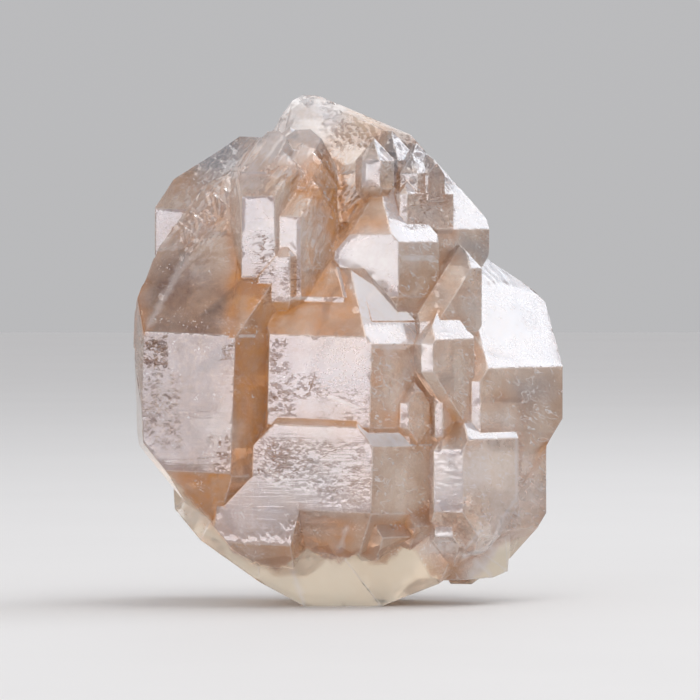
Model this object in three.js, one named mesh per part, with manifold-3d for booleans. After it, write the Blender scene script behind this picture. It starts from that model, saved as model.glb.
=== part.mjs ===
// An elestial smoky quartz: many quartz crystals grown together in one orientation, on their own broken
// root.
// Millimetres, +Z up along the crystals' long axis, front towards -Y.
// The origin is under the middle of the bounding box.
import * as THREE from "three";
import { ConvexGeometry } from "three/addons/geometries/ConvexGeometry.js";
import { mergeVertices } from "three/addons/utils/BufferGeometryUtils.js";
import Module from "manifold-3d";

const wasm = await Module();
wasm.setup();

// Quartz angles
const LATTICE_YAW = -14; // degrees: the front prism faces look this far to the left
const RHOMB_TILT = 38.2; // degrees: a rhombohedral face's normal stands this far above the horizontal
const SIDES = 6;

// How far apart two corner points are before they count as two
const SAME_POINT = 1e-3;

// A crystal is given by its front right upright edge, as [x, y] in mm, and by these sizes:
//   left, right   x of the left edge of the front face, and of the right edge of the face beside it
//   deep          from the front face to the back face
//   wide          from the right-hand face to the one opposite it, the same as deep if not given
//   top, bottom   height at which the front face ends in its upper and its lower rhombohedral face
//   tops, bottoms heights of the same edges on the other faces, by number: 1 front, 2 to its right, and on
//   roll          degrees clockwise, seen from the front
//   cuts          broken faces, each with its normal's azimuth and rise and a point that it runs through
const LOWER_FRONT = [
  // left block, and the thin layer on the long brown slope above it
  { edge: [-23.3, -20], left: -41.5, right: -8, deep: 40, wide: 22.4, top: 53.9,
    tops: { 2: 82, 3: 83, 4: 83, 5: 84, 6: 71 }, bottom: 27,
    bottoms: { 2: 26.4, 3: 30, 4: 40, 5: 34, 6: 33 }, roll: 2,
    cuts: [{ azimuth: -80, rise: -4.6, through: [-41.3, -15, 36] },
      { azimuth: -90, rise: 17, through: [-42.9, -8, 62] }] },
  { edge: [-23.3, -20], left: -41.3, right: -10, deep: 34, wide: 24, top: 54.4,
    tops: { 2: 82, 3: 83, 4: 83, 5: 84, 6: 70.6 }, bottom: 51, roll: 2,
    cuts: [{ azimuth: 90, rise: -3, through: [-24.4, -18, 54] },
      { azimuth: -90, rise: 17, through: [-42.6, -8, 62] }] },
  // low middle block, and its deeper left end
  { edge: [4.8, -21.5], left: -26, right: 20, deep: 24, wide: 31, top: 36,
    tops: { 2: 32.4, 3: 40, 6: 23.6 }, bottom: 19.2, bottoms: { 2: 19, 3: 22, 4: 32, 5: 26, 6: 14.8 }, roll: 2 },
  { edge: [4.8, -21.5], left: -26, right: 20, deep: 13, wide: 31, top: 34, tops: { 6: 23.6 }, bottom: 12,
    bottoms: { 2: 12, 4: 19, 5: 18, 6: 14.8 }, roll: 2,
    cuts: [{ azimuth: 62, rise: -12, through: [-10.6, -18, 14] }] },
  // its two lower points
  { edge: [0.6, -18.7], left: -9, right: 9, deep: 12, top: 30, bottom: 17,
    bottoms: { 2: 15.6, 4: 18, 6: 14 } },
  { edge: [5.4, -17.7], left: -1, right: 15, deep: 13, top: 30, bottom: 16,
    bottoms: { 2: 14, 3: 17, 4: 19, 6: 15 } },
  // middle block, and the thin layer on its white face
  { edge: [4, -20.3], left: -16.4, right: 24, deep: 42, top: 54, tops: { 2: 52.6, 6: 70 }, bottom: 36,
    bottoms: { 4: 34, 5: 40 }, roll: 1.5 },
  { edge: [1.6, -18.4], left: -14, right: 16, deep: 30, top: 52.6, tops: { 2: 57.1 }, bottom: 40 },
];

const LOWER_RIGHT = [
  // small block standing out at the lower right
  { edge: [22.6, -13.8], left: 16.8, right: 34, deep: 20, wide: 11, top: 31.6,
    tops: { 2: 33.4, 3: 34, 5: 34, 6: 31.3 }, bottom: 19, bottoms: { 2: 14, 3: 20, 5: 20, 6: 17 } },
  { edge: [20.6, -11], left: 17, right: 28, deep: 13, top: 24, bottom: 14, bottoms: { 2: 12, 6: 13 } },
  // great right crystal, and its lower end
  { edge: [26.2, -8.6], left: 18, right: 43.2, deep: 32, wide: 44, top: 45,
    tops: { 2: 47.5, 3: 60.4, 4: 62, 5: 62, 6: 62 }, bottom: 24, bottoms: { 2: 15, 3: 37, 4: 34, 5: 28 } },
  { edge: [26.2, -8.2], left: 12, right: 39.8, deep: 28, wide: 36, top: 40, bottom: 17,
    bottoms: { 2: 15, 3: 18, 4: 26, 5: 26 } },
  // block above it, with a narrow front face
  { edge: [16.6, -16.2], left: 14.2, right: 25, deep: 24, top: 52.6, tops: { 2: 53.4, 3: 54 }, bottom: 47,
    bottoms: { 2: 36, 3: 34, 6: 47 } },
  { edge: [18.6, -11.7], left: 17, right: 25.4, deep: 16, top: 50, bottom: 34 },
  // step in the brown side of the low middle block
  { edge: [12, -13.3], left: 4, right: 24, deep: 20, top: 38, bottom: 18, bottoms: { 2: 16 } },
  // little crystal beside the middle blocks
  { edge: [11.8, -14.6], left: 9.4, right: 16, deep: 12, top: 40.8, tops: { 2: 43, 6: 40.6 }, bottom: 35.8,
    bottoms: { 2: 33 } },
];

const UPPER_RIGHT = [
  // brown block beside the great right face
  { edge: [17.8, -10.6], left: 14, right: 26.6, deep: 26, top: 57, tops: { 2: 67.4, 3: 67.6, 6: 58.5 },
    bottom: 52, bottoms: { 2: 55, 3: 56 } },
  // overhanging crystal in the middle of the upper half
  { edge: [9.8, -11.3], left: -3.2, right: 18, deep: 24, top: 74.4, tops: { 2: 72.8, 6: 71 }, bottom: 67.6,
    bottoms: { 2: 66, 6: 69.2 } },
  { edge: [9.8, -11.3], left: -3.2, right: 18, deep: 24, top: 74.4, tops: { 2: 72.8, 6: 71 }, bottom: 61.8,
    bottoms: { 2: 61.8, 6: 74.4 } },
  // block with a wavy brown face, and the crystal with the second white face behind it
  { edge: [11.6, -5.4], left: 10, right: 21, deep: 20, top: 82.4, bottom: 74, bottoms: { 2: 75.4 } },
  { edge: [12, -3.9], left: 4, right: 28.4, deep: 30, top: 78,
    tops: { 2: 75.3, 3: 77.6, 4: 80 }, bottom: 60, bottoms: { 2: 68, 3: 70 } },
  // small crystal with both ends
  { edge: [6.2, -6], left: 2.2, right: 9, deep: 8, top: 89.4, tops: { 2: 89, 6: 89 }, bottom: 83.8,
    bottoms: { 2: 83.4, 6: 82.6 } },
  // small blocks above it
  { edge: [13.6, -3], left: 10.2, right: 19, deep: 16, top: 86.6, bottom: 81.4 },
  { edge: [15.8, -1.5], left: 13, right: 19.2, deep: 16, top: 86.2, tops: { 2: 88.4 }, bottom: 81.2 },
  { edge: [9.8, 0], left: 5, right: 14, deep: 20, top: 89.2, bottom: 84 },
];

const UPPER_LEFT = [
  // crystal behind the left block, with a small white front face
  { edge: [-20, 5.6], left: -39.4, right: -6, deep: 18, wide: 17.7, top: 79.5,
    tops: { 2: 92, 3: 85, 4: 86.4, 5: 85.3, 6: 79.7 }, bottom: 60, bottoms: { 6: 70, 5: 70 } },
  // narrow upright crystals left of the middle, in steps up the slope
  { edge: [-14.8, -12.8], left: -21.6, right: -6, deep: 14, top: 82, tops: { 2: 90, 6: 86 }, bottom: 65.6 },
  { edge: [-16.4, -9], left: -21.6, right: -8, deep: 13, top: 87, tops: { 2: 94 }, bottom: 70 },
  { edge: [-17, -4.6], left: -22.4, right: -8, deep: 9, top: 88, tops: { 2: 96 }, bottom: 72 },
  { edge: [-9.6, -13], left: -16, right: -2, deep: 14, top: 78, tops: { 2: 86, 6: 84 }, bottom: 61.8 },
  { edge: [-8.6, -9], left: -15, right: -2, deep: 14, top: 84, tops: { 2: 92 }, bottom: 62 },
  { edge: [-9, -4.6], left: -17, right: -2, deep: 12, top: 88, tops: { 2: 96 }, bottom: 66 },
  { edge: [-11.8, -13.9], left: -18.2, right: -6, deep: 20, top: 70, tops: { 6: 66 }, bottom: 61 },
  { edge: [-10, 1], left: -19.4, right: -3, deep: 13, top: 88, bottom: 76 },
  // crystal that ends in the highest point
  { edge: [-1.1, -13.5], left: -20, right: 24, deep: 38, top: 61.8,
    tops: { 2: 61.8, 3: 80, 4: 94, 5: 90, 6: 80.7 }, bottom: 50 },
];

// Thin ribs of the feathered slope at the upper left: the first one, how far each next one moves, and how
// many. A rib stands this long above its foot, and the feet sway up and down by a little.
const RIB = { edge: [-32, -3.2], left: -32.5, right: -30.8, deep: 13, top: 73.6, bottom: 66 };
const RIB_STEP = { x: 2, y: 1.1, top: 2 };
const RIB_LENGTH = 6.4;
const RIB_SWAY = 0.8;
const RIB_SWAY_TURN = 2.4; // radians from one rib to the next
const RIBS = 6;

// Seen only from behind
const BACK = [
  { edge: [-4, 0], left: -28, right: 14, deep: 26, wide: 36, top: 46, tops: { 4: 50 }, bottom: 26,
    bottoms: { 3: 20, 4: 18, 5: 22 } },
  { edge: [-18, 2], left: -38, right: -2, deep: 22, wide: 26, top: 66, tops: { 5: 62 }, bottom: 40,
    bottoms: { 4: 44, 5: 46 } },
  { edge: [-30, 0], left: -37, right: -20, deep: 20, top: 46, bottom: 34, bottoms: { 4: 28, 5: 30 } },
  { edge: [12, 4], left: -6, right: 22, deep: 21, top: 64, tops: { 4: 70 }, bottom: 52 },
  { edge: [20, 4], left: 10, right: 30, deep: 22, top: 44, tops: { 4: 40 }, bottom: 28 },
  { edge: [-8, 12], left: -20, right: 2, deep: 16, top: 80, tops: { 4: 76 }, bottom: 66 },
  { edge: [-12, 10], left: -20, right: -4, deep: 18.6, top: 38, tops: { 4: 41 }, bottom: 30,
    bottoms: { 4: 33 } },
  { edge: [4, 12], left: -2, right: 10, deep: 15, top: 50, tops: { 3: 52, 4: 56 }, bottom: 40,
    bottoms: { 4: 46 } },
  { edge: [-26, 10], left: -32, right: -18, deep: 15.4, top: 56, tops: { 4: 54 }, bottom: 46,
    bottoms: { 4: 49 } },
  { edge: [14, 12], left: 9, right: 20, deep: 14, top: 60, tops: { 3: 58, 4: 62 }, bottom: 50,
    bottoms: { 4: 55 } },
  { edge: [-22, 12], left: -29, right: -15, deep: 12, top: 76, tops: { 4: 72, 5: 72 }, bottom: 60,
    bottoms: { 4: 64 } },
  { edge: [22, 8], left: 16, right: 28, deep: 21, top: 32, tops: { 4: 30 }, bottom: 22 },
  { edge: [8, 12], left: 2, right: 14, deep: 14, top: 74, tops: { 3: 72, 4: 76 }, bottom: 66,
    bottoms: { 4: 70 } },
];

// Broken masses. Each point of the outline, as seen from the front, is [x, z], with how far it reaches to
// the front and the back. The first is the rounded peak with its long right shoulder, and the others are
// the root.
const PEAK = [
  { at: [-16.6, 92.4], front: 9.6, back: 20 },
  { at: [-14.4, 97.7], front: 13.6, back: 21 },
  { at: [-11.7, 101.5], front: 16.4, back: 21 },
  { at: [-9.5, 102.7], front: 17.6, back: 20 },
  { at: [-6, 102.4], front: 17.2, back: 20 },
  { at: [-0.8, 99.4], front: 14.6, back: 21 },
  { at: [5.2, 95.9], front: 11.8, back: 20 },
  { at: [12.4, 94.5], front: 10.8, back: 18 },
  { at: [15.6, 90.8], front: 7.6, back: 16 },
  { at: [14, 80], front: 0.6, back: 16 },
  { at: [-8, 75], front: -3.6, back: 18 },
  { at: [-16, 84], front: 2.6, back: 18 },
];
const ROOT_MIDDLE = [
  { at: [-35.4, 26], front: -6, back: 4 },
  { at: [-35, 19.4], front: -7.4, back: 6 },
  { at: [-29.8, 13.2], front: -9, back: 12 },
  { at: [-18, 4.9], front: -10, back: 16 },
  { at: [-9, 0], front: -9.6, back: 17 },
  { at: [6.4, 0], front: -9, back: 17 },
  { at: [18, 4.4], front: -7, back: 16 },
  { at: [30, 14], front: -2, back: 12 },
  { at: [30, 30], front: -4, back: 16 },
  { at: [-20, 34], front: -12, back: 16 },
];
const ROOT_RIGHT = [
  { at: [14, 5], front: -6, back: 6 },
  { at: [22, 5], front: -5, back: 8 },
  { at: [28.8, 5.4], front: -3, back: 8 },
  { at: [31.8, 6.6], front: -2, back: 8 },
  { at: [32.4, 12.6], front: -1, back: 10 },
  { at: [31, 20], front: -1, back: 10 },
  { at: [14, 20], front: -8, back: 10 },
];

// Bites out of the root's lower edges: middle, and radius of the round break
const BITES = [
  { at: [-34.6, -11, 10.4], radius: 5.6 },
  { at: [-27.5, -12.6, 5.8], radius: 6 },
  { at: [-20.5, -14, 0.8], radius: 6.6 },
  { at: [-13.2, -14.4, -2.4], radius: 6 },
  { at: [14.4, -12.4, -2], radius: 6.4 },
  { at: [31.4, -7.6, 3], radius: 5.8 },
  { at: [24.2, -10.4, 0.8], radius: 6 },
  { at: [-24, 21, 2], radius: 8 },
  { at: [15, 21, -2], radius: 8 },
  { at: [-30, 17, 9], radius: 7 },
  { at: [30, 18, 8], radius: 8 },
];
// Size of the small flats that make up a round break
const BREAK_FLAT = 1.4;
// Height of the axis, running front to back, about which a rolled crystal is turned
const ROLL_HEIGHT = 36;

function prismNormal(side) {
  const azimuth = THREE.MathUtils.degToRad(LATTICE_YAW + (360 / SIDES) * (side - 1));
  return new THREE.Vector3(Math.sin(azimuth), -Math.cos(azimuth), 0);
}

function rhombNormal(side, upOrDown) {
  const rise = THREE.MathUtils.degToRad(RHOMB_TILT);
  const normal = prismNormal(side).multiplyScalar(Math.cos(rise));
  return normal.setZ(upOrDown * Math.sin(rise));
}

function pointOnFace(normal, reach, x) {
  return new THREE.Vector3(x, (reach - normal.x * x) / normal.y, 0);
}

// The six upright faces of a crystal, each as a normal and its distance from the origin
function prismFaces({ edge, left, right, deep, wide = deep }) {
  const corner = new THREE.Vector3(edge[0], edge[1], 0);
  const normals = Array.from({ length: SIDES }, (_, index) => prismNormal(index + 1));
  const front = normals[0].dot(corner);
  const beside = normals[1].dot(corner);
  const third = normals[2].dot(pointOnFace(normals[1], beside, right));
  const sixth = normals[5].dot(pointOnFace(normals[0], front, left));
  const reaches = [front, beside, third, deep - front, wide - beside, sixth];
  return normals.map((normal, index) => ({ normal, reach: reaches[index] }));
}

// The rhombohedral face that meets an upright face at a given height
function rhombFace(upright, side, height, upOrDown) {
  const normal = rhombNormal(side, upOrDown);
  const onEdge = upright.normal.clone().multiplyScalar(upright.reach).setZ(height);
  return { normal, reach: normal.dot(onEdge) };
}

function brokenFace({ azimuth, rise, through }) {
  const around = THREE.MathUtils.degToRad(azimuth);
  const above = THREE.MathUtils.degToRad(rise);
  const normal = new THREE.Vector3(Math.sin(around), -Math.cos(around), 0).multiplyScalar(Math.cos(above));
  normal.setZ(Math.sin(above));
  return { normal, reach: normal.dot(new THREE.Vector3(...through)) };
}

function crystalFaces(sizes) {
  const uprights = prismFaces(sizes);
  const faces = [...uprights];
  uprights.forEach((upright, index) => {
    const side = index + 1;
    faces.push(rhombFace(upright, side, sizes.tops?.[side] ?? sizes.top, 1));
    faces.push(rhombFace(upright, side, sizes.bottoms?.[side] ?? sizes.bottom, -1));
  });
  return faces.concat((sizes.cuts ?? []).map(brokenFace));
}

function meetingPoint(a, b, c) {
  const bc = b.normal.clone().cross(c.normal);
  const ca = c.normal.clone().cross(a.normal);
  const ab = a.normal.clone().cross(b.normal);
  const volume = a.normal.dot(bc);
  if (Math.abs(volume) < SAME_POINT) return null;
  const sum = bc.multiplyScalar(a.reach).add(ca.multiplyScalar(b.reach)).add(ab.multiplyScalar(c.reach));
  return sum.divideScalar(volume);
}

// The corners of the convex body that all the faces enclose
function cornersOf(faces) {
  const corners = [];
  for (let i = 0; i < faces.length; i += 1) {
    for (let j = i + 1; j < faces.length; j += 1) {
      for (let k = j + 1; k < faces.length; k += 1) {
        const point = meetingPoint(faces[i], faces[j], faces[k]);
        const inside = point && faces.every((face) => face.normal.dot(point) <= face.reach + SAME_POINT);
        if (inside && !corners.some((corner) => corner.distanceTo(point) < SAME_POINT)) corners.push(point);
      }
    }
  }
  return corners;
}

function rolled(corners, degrees, pivot) {
  const turn = new THREE.Matrix4().makeRotationY(THREE.MathUtils.degToRad(degrees));
  return corners.map((corner) => corner.clone().sub(pivot).applyMatrix4(turn).add(pivot));
}

function toSolid(geometry) {
  geometry.deleteAttribute("normal");
  geometry.deleteAttribute("uv");
  const merged = mergeVertices(geometry, SAME_POINT / 10);
  const vertProperties = new Float32Array(merged.attributes.position.array);
  const triVerts = new Uint32Array(merged.index.array);
  return new wasm.Manifold(new wasm.Mesh({ numProp: 3, vertProperties, triVerts }));
}

function toGeometry(solid) {
  const mesh = solid.getMesh();
  const geometry = new THREE.BufferGeometry();
  geometry.setAttribute("position", new THREE.BufferAttribute(mesh.vertProperties, 3));
  geometry.setIndex(new THREE.BufferAttribute(mesh.triVerts, 1));
  return geometry;
}

function crystal(sizes) {
  const corners = cornersOf(crystalFaces(sizes));
  const pivot = new THREE.Vector3(sizes.edge[0], sizes.edge[1], ROLL_HEIGHT);
  return toSolid(new ConvexGeometry(rolled(corners, sizes.roll ?? 0, pivot)));
}

function grownTogether(solids) {
  return solids.reduce((whole, solid) => whole.add(solid));
}

// A convex broken mass between a front and a back outline
function brokenMass(outline) {
  const points = outline.flatMap(({ at: [x, z], front, back }) => [
    new THREE.Vector3(x, front, z),
    new THREE.Vector3(x, back, z),
  ]);
  return toSolid(new ConvexGeometry(points));
}

function rib(index) {
  const x = RIB_STEP.x * index;
  const y = RIB_STEP.y * index;
  const top = RIB.top + RIB_STEP.top * index + RIB_SWAY * Math.sin(RIB_SWAY_TURN * index);
  return crystal({
    ...RIB,
    edge: [RIB.edge[0] + x, RIB.edge[1] + y],
    left: RIB.left + x,
    right: RIB.right + x,
    top,
    tops: { 2: top + RIB_LENGTH, 6: top + RIB_LENGTH },
  });
}

function bite({ at, radius }) {
  const ball = new THREE.IcosahedronGeometry(radius, Math.round(radius / BREAK_FLAT));
  ball.translate(...at);
  return toSolid(ball);
}

function brokenRoot() {
  const mass = grownTogether([ROOT_MIDDLE, ROOT_RIGHT].map(brokenMass));
  return BITES.map(bite).reduce((left, ball) => left.subtract(ball), mass);
}

// Moves a geometry so that the origin is under the middle of its bounding box
function centred(geometry) {
  geometry.computeBoundingBox();
  const middle = geometry.boundingBox.getCenter(new THREE.Vector3());
  return geometry.translate(-middle.x, -middle.y, -geometry.boundingBox.min.z);
}

const crystals = [...LOWER_FRONT, ...LOWER_RIGHT, ...UPPER_RIGHT, ...UPPER_LEFT, ...BACK].map(crystal);
const ribs = Array.from({ length: RIBS }, (_, index) => rib(index));
const whole = grownTogether([...crystals, ...ribs, brokenMass(PEAK), brokenRoot()]);

const group = new THREE.Group();
const quartz = new THREE.MeshStandardMaterial({ color: 0xb59a8c, roughness: 0.2, flatShading: true });
const mesh = new THREE.Mesh(centred(toGeometry(whole)), quartz);
mesh.name = "crystal";
group.add(mesh);

export default group;
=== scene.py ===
import math

import bmesh
import bpy
import numpy as np
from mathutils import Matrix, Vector
from mathutils.bvhtree import BVHTree
from mathutils.geometry import delaunay_2d_cdt
from mathutils.kdtree import KDTree


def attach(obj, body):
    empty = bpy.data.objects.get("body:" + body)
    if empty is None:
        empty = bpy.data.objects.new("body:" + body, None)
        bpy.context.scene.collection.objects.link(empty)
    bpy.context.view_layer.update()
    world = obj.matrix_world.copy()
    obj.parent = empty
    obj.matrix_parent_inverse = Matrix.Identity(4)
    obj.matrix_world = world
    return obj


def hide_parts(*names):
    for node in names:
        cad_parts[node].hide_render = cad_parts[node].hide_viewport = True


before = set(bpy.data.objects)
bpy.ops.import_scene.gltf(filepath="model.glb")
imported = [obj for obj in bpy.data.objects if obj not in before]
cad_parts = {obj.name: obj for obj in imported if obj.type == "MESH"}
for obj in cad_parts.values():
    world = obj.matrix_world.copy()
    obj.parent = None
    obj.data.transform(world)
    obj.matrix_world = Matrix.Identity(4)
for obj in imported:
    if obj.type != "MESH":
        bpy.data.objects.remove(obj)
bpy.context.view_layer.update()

MM = 0.001

# The photograph's pixels: five to a millimetre, and where the origin is
PX_PER_MM = 5.0
ORIGIN_PX = (349.3, 606.0)

# Quartz directions in degrees, as in the part, and from where to where a normal counts as lying along one
LATTICE_YAW = -14.0
RHOMB_TILT = 38.2
FACE_LIKE = (0.985, 0.997)

# How the faces are cut, in mm: coarse on the hidden back, and on the front in three grids, for plain faces,
# relief and the finest relief
WELD = 0.002
EDGE_STEP = 0.75
COARSE = 1.7
GRIDS = (1.0, 0.42, 0.25)
ROW_SPACING = 0.87
GRID_SHAKE = 0.16
GRID_SEED = 7
EDGE_BAND = 0.22
FLAT_ENOUGH = math.radians(0.4)
SHARP_BEND = math.radians(3.0)
NO_EDGE_NEAR = 5.0
CUT_TOLERANCE = 1e-5

# Edges and faces are cut finely where they reach in front of these depths, unless a face is turned back
SEEN_EDGE_Y = 6.0
SEEN_FACE_Y = 12.0
TURNED_BACK = 0.2

# Below this height in mm no point is raised or lowered, so the foot stays flat
FOOT_HEIGHT = 0.3

# Large odd numbers that mix the cell numbers of the noise
MIX_CELLS = (73856093, 19349663, 83492791)
MIX_SEED = 40503
MIX_AGAIN = 1274126177


def to_mm(px, py):
    """A pixel of the photograph as x and z in mm."""
    return (px - ORIGIN_PX[0]) / PX_PER_MM, (ORIGIN_PX[1] - py) / PX_PER_MM


def face_normal(side, rise=0):
    """Outward normal of prism face 1 to 6, or of the rhomb face above it (rise 1) or below it (rise -1)."""
    azimuth = math.radians(LATTICE_YAW + 60.0 * (side - 1))
    tilt = math.radians(RHOMB_TILT) * rise
    level = math.cos(tilt)
    return np.array([math.sin(azimuth) * level, -math.cos(azimuth) * level, math.sin(tilt)])


def ramp(value, low, high):
    """0 below low, 1 above high, smooth between."""
    part = np.clip((value - low) / (high - low), 0.0, 1.0)
    return part * part * (3.0 - 2.0 * part)


def random_at(cells, seed):
    """A steady random number from 0 to 1 for each whole-number cell."""
    i, j, k = (cells[:, axis] * MIX_CELLS[axis] for axis in range(3))
    mixed = i ^ j ^ k ^ (seed + 1) * MIX_SEED
    mixed = (mixed ^ (mixed >> 13)) * MIX_AGAIN
    return ((mixed ^ (mixed >> 16)) & 0xFFFF) / 0xFFFF


def smooth_noise(points, size, seed):
    """Smooth noise from -1 to 1, with lumps of the given size in mm (a number, or one for each axis). Each
    use has a seed of its own, so that no two patterns agree."""
    scaled = points / np.asarray(size, dtype=float)
    cells = np.floor(scaled).astype(np.int64)
    part = scaled - cells
    part = part * part * (3.0 - 2.0 * part)
    total = np.zeros(len(points))
    for corner in range(8):
        step = np.array([corner & 1, corner >> 1 & 1, corner >> 2 & 1])
        total += np.prod(np.where(step, part, 1.0 - part), axis=1) * random_at(cells + step, seed)
    return 2.0 * total - 1.0


def area(kind, box, depth, size, **more):
    """An area of relief: its kind, pixel box on the photograph, depth and size in mm. Pits and creases also
    have the share of the box that they cover, ribs the degrees that they lean to the right, and some creases
    how brown their lines are (0 to 1)."""
    return {"kind": kind, "box": box, "depth": depth, "size": size, **more}


# Relief seen on the front. Each kind has its function below.
RELIEF = [
    # etch pits of the left block, and the creases under them
    area("pits", (138, 333, 169, 368), 0.16, 0.45, share=0.36),
    area("creases", (138, 372, 184, 448), 0.05, 0.9, share=0.3, brown=0.3),
    area("pits", (212, 436, 237, 474), 0.1, 0.45, share=0.22),
    area("pits", (224, 340, 237, 362), 0.1, 0.45, share=0.25),
    # of the middle block
    area("pits", (267, 336, 287, 374), 0.2, 0.4, share=0.36),
    area("pits", (266, 376, 294, 418), 0.2, 0.42, share=0.36),
    area("pits", (290, 370, 322, 398), 0.1, 0.45, share=0.34),
    area("creases", (320, 386, 370, 418), 0.05, 0.7, share=0.4, brown=0.5),
    # of the low middle block
    area("pits", (252, 438, 292, 478), 0.14, 0.5, share=0.35),
    area("creases", (274, 440, 362, 486), 0.04, 0.6, share=0.5, brown=0.7),
    area("creases", (316, 472, 376, 504), 0.04, 0.6, share=0.5, brown=0.65),
    area("lumps", (218, 528, 290, 544), 0.14, 0.9),
    # grooves in the upright white faces of the upper middle
    area("creases", (253, 234, 278, 282), 0.1, 0.6, share=0.8),
    area("creases", (282, 256, 304, 300), 0.14, 0.7, share=0.8),
    area("creases", (256, 284, 274, 306), 0.12, 0.8, share=0.7),
    # feathered slope, and the slopes that rise to the peak
    area("ribs", (182, 170, 242, 252), 0.12, 1.0, lean=20),
    area("ribs", (228, 108, 300, 200), 0.12, 1.2, lean=42),
    area("ribs", (292, 148, 366, 252), 0.12, 1.3, lean=24),
    area("lumps", (316, 92, 376, 152), 0.32, 0.9),
    area("lumps", (188, 134, 242, 176), 0.4, 1.4),
    # wavy faces of the small blocks at the upper right
    area("creases", (404, 190, 456, 230), 0.2, 0.9, share=0.9),
    area("ribs", (408, 140, 426, 164), 0.4, 1.2, lean=70),
    area("ribs", (368, 128, 396, 162), 0.12, 0.9, lean=70),
    area("lumps", (380, 126, 456, 192), 0.4, 1.7),
    area("lumps", (432, 268, 448, 318), 0.2, 1.0),
    area("ribs", (428, 328, 456, 346), 0.2, 0.9, lean=80),
    # rough places on the brown side faces of the blocks
    area("lumps", (372, 372, 404, 392), 0.25, 1.0),
    area("lumps", (464, 500, 522, 546), 0.2, 1.6),
    area("waves", (520, 440, 566, 530), 0.5, 4.0),
    # level ridges of the upright pale strip, rough lower end of the right block, and the teeth
    area("ribs", (430, 446, 464, 512), 0.04, 0.6, lean=86),
    area("lumps", (430, 508, 470, 560), 0.6, 1.5),
    area("lumps", (286, 508, 330, 560), 0.4, 1.6),
    # broad waves of the great white face, and the rough patch at its top
    area("waves", (480, 280, 568, 368), 0.25, 9.0),
    area("ribs", (484, 244, 516, 288), 0.12, 1.2, lean=-35),
]

# Thin white lines on the front, partly fractures and worn rims and partly painted edge highlights: two ends
# in pixels, half-width in mm
WHITE_LINES = [
    ((196, 170), (206, 152), 0.3), ((214, 172), (226, 148), 0.3), ((203, 148), (216, 156), 0.25),
    ((270, 468), (286, 478), 0.5), ((208, 144), (222, 166), 0.2), ((517, 436), (517, 500), 0.3),
    ((517, 500), (503, 518), 0.35), ((503, 518), (490, 548), 0.45), ((490, 548), (464, 556), 0.55),
    ((404, 258), (433, 258), 0.7), ((288, 298), (320, 298), 0.35), ((241, 335), (255, 335), 0.35),
    ((372, 345), (404, 347), 0.5), ((470, 428), (480, 415), 0.35), ((330, 395), (362, 408), 0.3),
    ((473, 334), (497, 365), 0.25), ((466, 548), (480, 530), 0.3),
]

# Walls of the etch pits as a share of the noise, and the two sides of a rib as shares of its width
PIT_WALL = 0.25
RIB_SIDES = (0.7, 0.3)

# How far outside the border of its box relief starts, and how far inside it is full, in mm
BOX_BORDER = (-0.3, 1.2)


def white_lines(points):
    """1 on a white line, 0 away from it, uneven along its length."""
    seen_from_front = points[:, ::2]
    strength = np.zeros(len(points))
    for start, end, half_width in WHITE_LINES:
        ends = np.array([to_mm(*start)]), np.array([to_mm(*end)])
        away = distance_to_sides(seen_from_front, *ends)
        strength = np.maximum(strength, 1.0 - ramp(away, 0.4 * half_width, half_width + 0.15))
    return strength * (1.0 - ramp(points[:, 1], 0.0, 4.0)) * (0.75 + 0.25 * smooth_noise(points, 0.9, 151))


def pits(points, depth, size, share, **_):
    """Etch pits with steep walls and flat floors."""
    wander = points + 0.5 * size * smooth_noise(points, size * 0.9, 3)[:, None]
    field = smooth_noise(wander, (size * 1.5, size * 4, size), 5) + 0.35 * smooth_noise(wander, size * 0.6, 6)
    edge = 1.0 - 2.0 * share
    return -depth * ramp(field, edge, edge + PIT_WALL)


def creases(points, depth, size, share, **_):
    """Thin wavy creases, mostly level, that come and go."""
    wander = points.copy()
    wander[:, 2] += 0.6 * size * smooth_noise(points, size * 1.2, 11)
    field = smooth_noise(wander, (size * 1.7, size * 5, size * 0.62), 12)
    line = 1.0 - ramp(np.abs(field), 0.04, 0.3)
    present = ramp(smooth_noise(points, size * 1.6, 13), 0.5 - share, 0.8 - share)
    return -depth * line * present


def ribs(points, depth, size, lean, **_):
    """Long ridges side by side, sharp on one side, that lean to the right by so many degrees."""
    turn = math.radians(lean)
    across = points[:, 0] * math.cos(turn) - points[:, 2] * math.sin(turn)
    bend = 1.3 * size * smooth_noise(points, (size * 5, size * 5, size * 7), 21)
    phase = (across + bend) / size + 0.5 * smooth_noise(points, size * 2.0, 22)
    saw = phase - np.floor(phase)
    ridge = np.minimum(saw / RIB_SIDES[0], (1.0 - saw) / RIB_SIDES[1])
    strength = 0.6 + 0.4 * smooth_noise(points, (size, size, size * 3.5), 23)
    return -depth * strength * ramp(ridge, 0.0, 1.0)


def lumps(points, depth, size, **_):
    """Rough broken surface."""
    field = smooth_noise(points, size, 31) + 0.5 * smooth_noise(points, size * 0.45, 32)
    return -depth * ramp(np.abs(field), 0.0, 0.9)


def waves(points, depth, size, **_):
    """Soft, broad undulation."""
    return -depth * (0.5 + 0.5 * smooth_noise(points, size, 61))


# Each kind's function, and which of GRIDS it needs
KINDS = {"pits": (pits, 2), "creases": (creases, 2), "ribs": (ribs, 1), "lumps": (lumps, 1),
         "waves": (waves, 0)}


def shaken(points):
    """The points moved a little up and aside at random, so that a box of relief has an uneven border."""
    return points + 0.8 * smooth_noise(points, 2.4, 71)[:, None] * (1.0, 0.0, -1.0)


def in_box(moved, box):
    """Weight from 0 to 1 for lying inside a pixel box of the photograph."""
    x0, z1 = to_mm(box[0], box[1])
    x1, z0 = to_mm(box[2], box[3])
    x, z = moved[:, 0], moved[:, 2]
    inside = np.minimum(np.minimum(x - x0, x1 - x), np.minimum(z - z0, z1 - z))
    return ramp(inside, *BOX_BORDER)


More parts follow.
